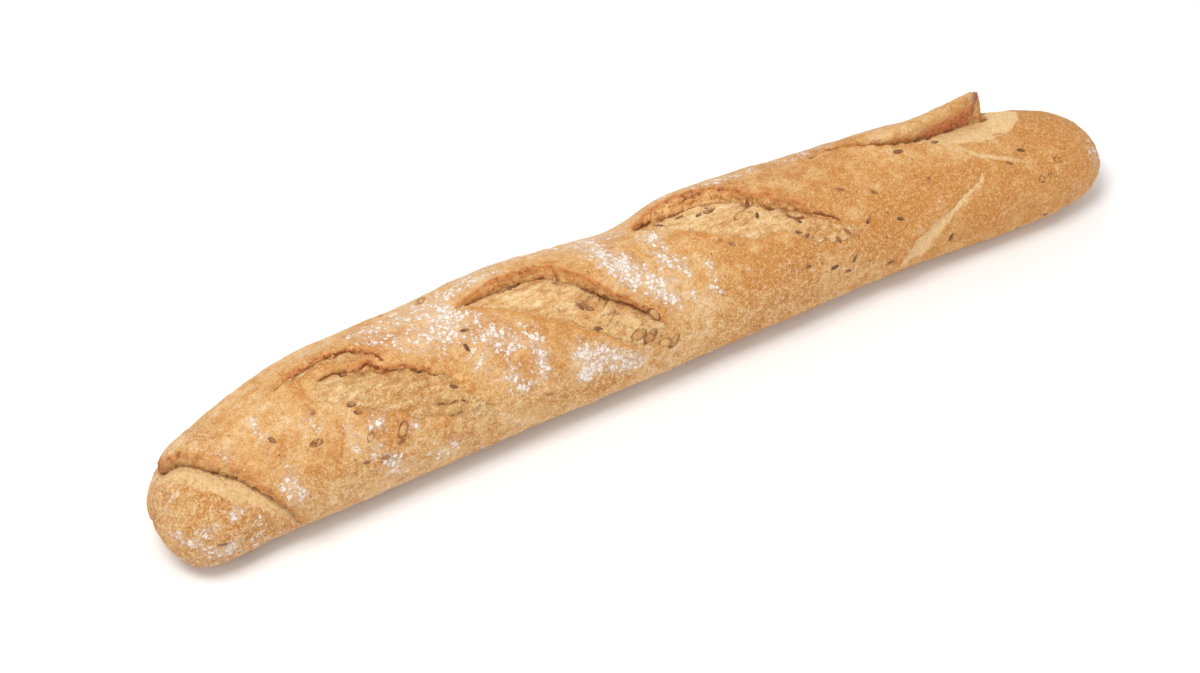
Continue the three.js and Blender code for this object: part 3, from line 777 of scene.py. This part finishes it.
# the crumb in the openings, and the smooth pale skin that opened late
crumb = mottle.ramp(0.35, 0.65).over(tone(222, 176, 114), tone(242, 208, 154))
crumb = (baked.ramp(0.3, 1.1) * 0.7).over(crumb, tone(208, 148, 82))
crumb = (grit.ramp(0.48, 0.68) * 0.5).over(crumb, tone(250, 224, 176))
crumb = ((1 - grit).ramp(0.48, 0.68) * 0.35).over(crumb, tone(182, 126, 70))
crumb = ((1 - bubbles).ramp(0.8, 0.95) * mottle.ramp(0.4, 0.6) * 0.6).over(crumb, tone(164, 104, 52))
crumb = ((1 - strands).ramp(0.52, 0.63) * 0.6).over(crumb, tone(178, 112, 54))
crumb = (strands.ramp(0.53, 0.64) * 0.6).over(crumb, tone(250, 226, 178))
open_crumb = (mask("opening") + (mottle - 0.5) * 1.4 + (grit - 0.5) * 0.5).ramp(0.3, 0.85)
colour = (open_crumb * 0.92).over(colour, crumb)
skin_pale = (grit.ramp(0.35, 0.65) * 0.8).over(tone(224, 184, 128), tone(244, 215, 164))
skin_pale = ((1 - speckle).ramp(0.5, 0.7) * 0.3).over(skin_pale, tone(192, 144, 88))
colour = ((mask("pale") + (mottle - 0.5) * 0.9).ramp(0.2, 0.9) * 0.9).over(colour, skin_pale)
colour = ((mask("stretched") + (mottle - 0.5) * 0.8).ramp(0.4, 0.9) * 0.6).over(colour, tone(234, 202, 152))

# the browned faces, their burnt lips, the flap's shaded end face and its stain, and painted shade in the
# clefts, cracks, pits and seed outlines
toast = (mottle * 0.5 + grit * 0.5).ramp(0.42, 0.58).over(tone(212, 148, 84), tone(238, 192, 128))
toast = ((1 - speckle).ramp(0.52, 0.66) * 0.6).over(toast, tone(158, 88, 42))
toast = ((1 - bubbles).ramp(0.72, 0.9) * 0.7).over(toast, tone(140, 74, 38))
edged = (mask("edge") + (mottle - 0.5) * 1.3 + (grit - 0.5) * 0.6).ramp(0.25, 0.75)
colour = (edged * 0.85).over(colour, toast)
burnt_lip = (mask("rim") + (mottle - 0.5) * 2.2 + (grit - 0.5) * 1.2).ramp(0.3, 0.9)
burnt = speckle.ramp(0.36, 0.56).over(tone(146, 70, 34), tone(202, 120, 60))
colour = (burnt_lip * 0.8).over(colour, burnt)
colour = ((mask("hem") + (mottle - 0.5) * 1.4).ramp(0.45, 0.95) * 0.5).over(colour, tone(204, 132, 66))
# painted shade: the flap's end face in a dull tan, darker than the crust round it
shaded_end_skin = mottle.ramp(0.4, 0.6).over(tone(184, 132, 78), tone(214, 168, 106))
colour = mask("shaded_end_face").ramp(0.3, 0.7).over(colour, shaded_end_skin)
stained = (mask("stain") + (mottle - 0.5) * 1.6 + (grit - 0.5) * 0.8).ramp(0.25, 0.95)
sugars = (mottle * 0.4 + grit * 0.6).ramp(0.4, 0.56).over(tone(158, 74, 44), tone(218, 138, 90))
colour = (stained * 0.85).over(colour, sugars)
colour = ((mask("singed") + (mottle - 0.5) * 1.4).ramp(0.3, 0.9) * 0.85).over(colour, tone(142, 88, 80))
# painted shade in the clefts under the lips
colour = ((mask("cleft_shade") + (grit - 0.5) * 1.4).ramp(0.4, 1.1) * 0.6).over(colour, tone(116, 64, 30))
# painted shade in the cracks, wrinkles and pits
colour = ((mask("groove_shade") + (grit - 0.5) * 0.8).ramp(0.3, 0.8) * 0.85).over(colour, tone(122, 58, 28))
# painted shade in the trench round each seed
colour = (mask("seed_rim_shade").ramp(0.35, 0.85) * 0.8).over(colour, tone(120, 66, 32))

# flour over it all, in flakes where it lies thick and as a veil round them; then the underside
grains = clumps.ramp(0.0, 0.16) * 0.7 + (flake - 0.5) * 1.5
grains = grains + (powder - 0.5) * 2.4 + (streaks - 0.5) * 1.5 - 0.6
thick = mask("flour") + grains
floured = thick.ramp(0.52, 1.0) * mask("flour").ramp(0.1, 0.5)
dust = thick.ramp(0.5, 1.3).over(tone(230, 202, 178), tone(250, 241, 234))
veil = (mask("flour") + (powder - 0.5) * 1.4 + (speckle - 0.5) * 1.0).ramp(0.15, 1.1)
colour = (veil * 0.34).over(colour, tone(236, 210, 184))
colour = (floured * 0.78).over(colour, dust)
under = (mask("underside") + (mottle - 0.5) * 0.4).ramp(0.35, 0.8) * 0.7
colour = under.over(colour, patches.ramp(0.35, 0.65).over(tone(186, 126, 66), tone(214, 162, 100)))
colour.put(skin.inputs["Base Color"])

rough = 0.66 + floured * 0.28 + open_crumb * 0.2
rough.put(skin.inputs["Roughness"])
skin.inputs["Specular IOR Level"].default_value = 0.25
relief = grit * (0.9 + gritty * 0.5 + open_crumb * 0.5) + speckle * (1.2 + gritty * 1.2)
relief = relief + mottle * 2.0 + strands * open_crumb * 2.4
relief = relief + pinholes.ramp(0.0, 0.3) * 0.5 + clumps.ramp(0.0, 0.12) * floured * 0.8
bump = {"Height": relief, "Distance": 0.0005, "Strength": 0.8}
Field.make(tree, "ShaderNodeBump", {}, bump).put(skin.inputs["Normal"])
crust_mesh.materials.append(crust)

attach(bread, "root")
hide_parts("loaf")

# ------------------------------------------------------------------ the seeds
# Flax seeds are small flat drops with a hard brown gloss. Sunflower kernels are larger, paler
# and duller, toasted where they stand out. Each lies sunk by half in the crust that holds it.

CLEAR_OF_CRUST = 0.02  # metres above the smooth body, outside every lip


def seed_bed(x, girth):
    """The crust's surface point at a place and the way out of it, in metres."""
    at, out = (found(np.array([x]), np.array([girth]))[0] for found in (body_point, body_normal))
    out = Vector(out)
    above = Vector((at - MIDDLE) * MM) + CLEAR_OF_CRUST * out
    hit, normal, _, _ = crust_tree.ray_cast(above, -out)
    return hit, (out + 0.5 * normal).normalized()


def sow(name, places, size, raised):
    """One mesh of seeds, each a drop whose middle stands raised mm above the crust."""
    seeds = bmesh.new()
    for x, girth, degrees in places:
        hit, up = seed_bed(x, girth)
        along = (Vector((1, 0, 0)) - up * up.x).normalized()
        girthwise = along.cross(up)
        angle = math.radians(degrees)
        forward = (along * math.cos(angle) + girthwise * math.sin(angle)).normalized()
        up = (up + chance.uniform(-0.1, 0.1) * up.cross(forward)).normalized()
        basis = Matrix((forward, up.cross(forward), up)).transposed()
        scale = chance.uniform(0.8, 1.1)
        made = bmesh.ops.create_uvsphere(seeds, u_segments=10, v_segments=6, radius=1)["verts"]
        for vertex in made:
            taper = 1 - 0.32 * vertex.co.x
            drop = (vertex.co.x * size[0], vertex.co.y * size[1] * taper, vertex.co.z * size[2])
            vertex.co = hit + basis @ (Vector(drop) * MM * scale) + up * raised * MM
    for polygon in seeds.faces:
        polygon.smooth = True
    mesh = bpy.data.meshes.new(name)
    seeds.to_mesh(mesh)
    seeds.free()
    piece = bpy.data.objects.new(name, mesh)
    bpy.context.scene.collection.objects.link(piece)
    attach(piece, "root")
    return mesh


def seed_finish(name, dark, light, roughness, dusted):
    """A seed's skin: two tones of it in patches, toasted and dusted with flour in places."""
    finish = bpy.data.materials.new(name)
    finish.use_nodes = True
    shell = finish.node_tree.nodes["Principled BSDF"]
    where = Field.make(finish.node_tree, "ShaderNodeTexCoord", {}, {}, output="Object")
    colour = grain(where, 9, 1).ramp(0.38, 0.62).over(dark, light)
    colour = (grain(where, 0.9, 2).ramp(0.5, 0.7) * 0.5).over(colour, light)
    colour = (grain(where, 3, 3).ramp(0.5, 0.64) * dusted).over(colour, tone(222, 176, 118))
    colour.put(shell.inputs["Base Color"])
    shell.inputs["Roughness"].default_value = roughness
    bump = {"Height": grain(where, 0.7, 2), "Distance": 0.0002, "Strength": 0.5}
    Field.make(finish.node_tree, "ShaderNodeBump", {}, bump).put(shell.inputs["Normal"])
    return finish


flax = sow("flax_seeds", flax_places, FLAX_SIZE, raised=0.15)
flax.materials.append(seed_finish("flax_skin", tone(98, 56, 28), tone(150, 96, 50), 0.4, 0.35))
kernels = sow("sunflower_kernels", kernel_places, KERNEL_SIZE, raised=0.1)
kernels.materials.append(
    seed_finish("toasted_kernel", tone(170, 114, 58), tone(208, 160, 98), 0.55, 0.3)
)

# ------------------------------------------------------------------ the table it lies on
# A plain pale table top, wide soft light panels around it as in a studio, and the eye's place.

floor_shape = bmesh.new()
bmesh.ops.create_grid(floor_shape, x_segments=1, y_segments=1, size=6)
floor_mesh = bpy.data.meshes.new("floor")
floor_shape.to_mesh(floor_mesh)
floor_shape.free()
floor = bpy.data.objects.new("floor", floor_mesh)
bpy.context.scene.collection.objects.link(floor)
table_top = bpy.data.materials.new("pale_table_top")
table_top.use_nodes = True
table_skin = table_top.node_tree.nodes["Principled BSDF"]
table_skin.inputs["Base Color"].default_value = (0.93, 0.93, 0.93, 1)
table_skin.inputs["Roughness"].default_value = 0.9
floor_mesh.materials.append(table_top)


def panel(name, place, size, power):
    """A round light panel that faces the loaf."""
    light = bpy.data.lights.new(name, "AREA")
    light.shape, light.size, light.energy = "DISK", size, power
    lamp = bpy.data.objects.new(name, light)
    lamp.location = place
    lamp.rotation_euler = (-Vector(place)).to_track_quat("-Z", "Y").to_euler()
    bpy.context.scene.collection.objects.link(lamp)


panel("key_light", (-0.7, -0.1, 1.8), 1.0, 22)
panel("fill_light", (0.9, -1.6, 0.9), 1.6, 9)
panel("back_light", (0.4, 1.5, 1.3), 1.4, 7)

world = bpy.data.worlds.new("studio")
bpy.context.scene.world = world
world.use_nodes = True
sky = world.node_tree.nodes["Background"]
sky.inputs["Color"].default_value = (1, 1, 1, 1)
sky.inputs["Strength"].default_value = 0.55

LENS_MM = 84.4
AZIMUTH, ELEVATION = math.radians(-30), math.radians(45)
LOOK_AT = Vector((-0.0214, -0.0025, 0.0096))
DISTANCE = 1.25
camera_data = bpy.data.cameras.new("camera")
camera_data.sensor_width = 36
camera_data.lens = LENS_MM
camera_data.clip_start, camera_data.clip_end = 0.05, 30
camera = bpy.data.objects.new("camera", camera_data)
bpy.context.scene.collection.objects.link(camera)
bpy.context.scene.camera = camera
back = Vector((math.sin(AZIMUTH), -math.cos(AZIMUTH), math.tan(ELEVATION))).normalized()
camera.location = LOOK_AT + DISTANCE * back
camera.rotation_euler = (-back).to_track_quat("-Z", "Y").to_euler()
bpy.context.scene.view_settings.view_transform = "Standard"
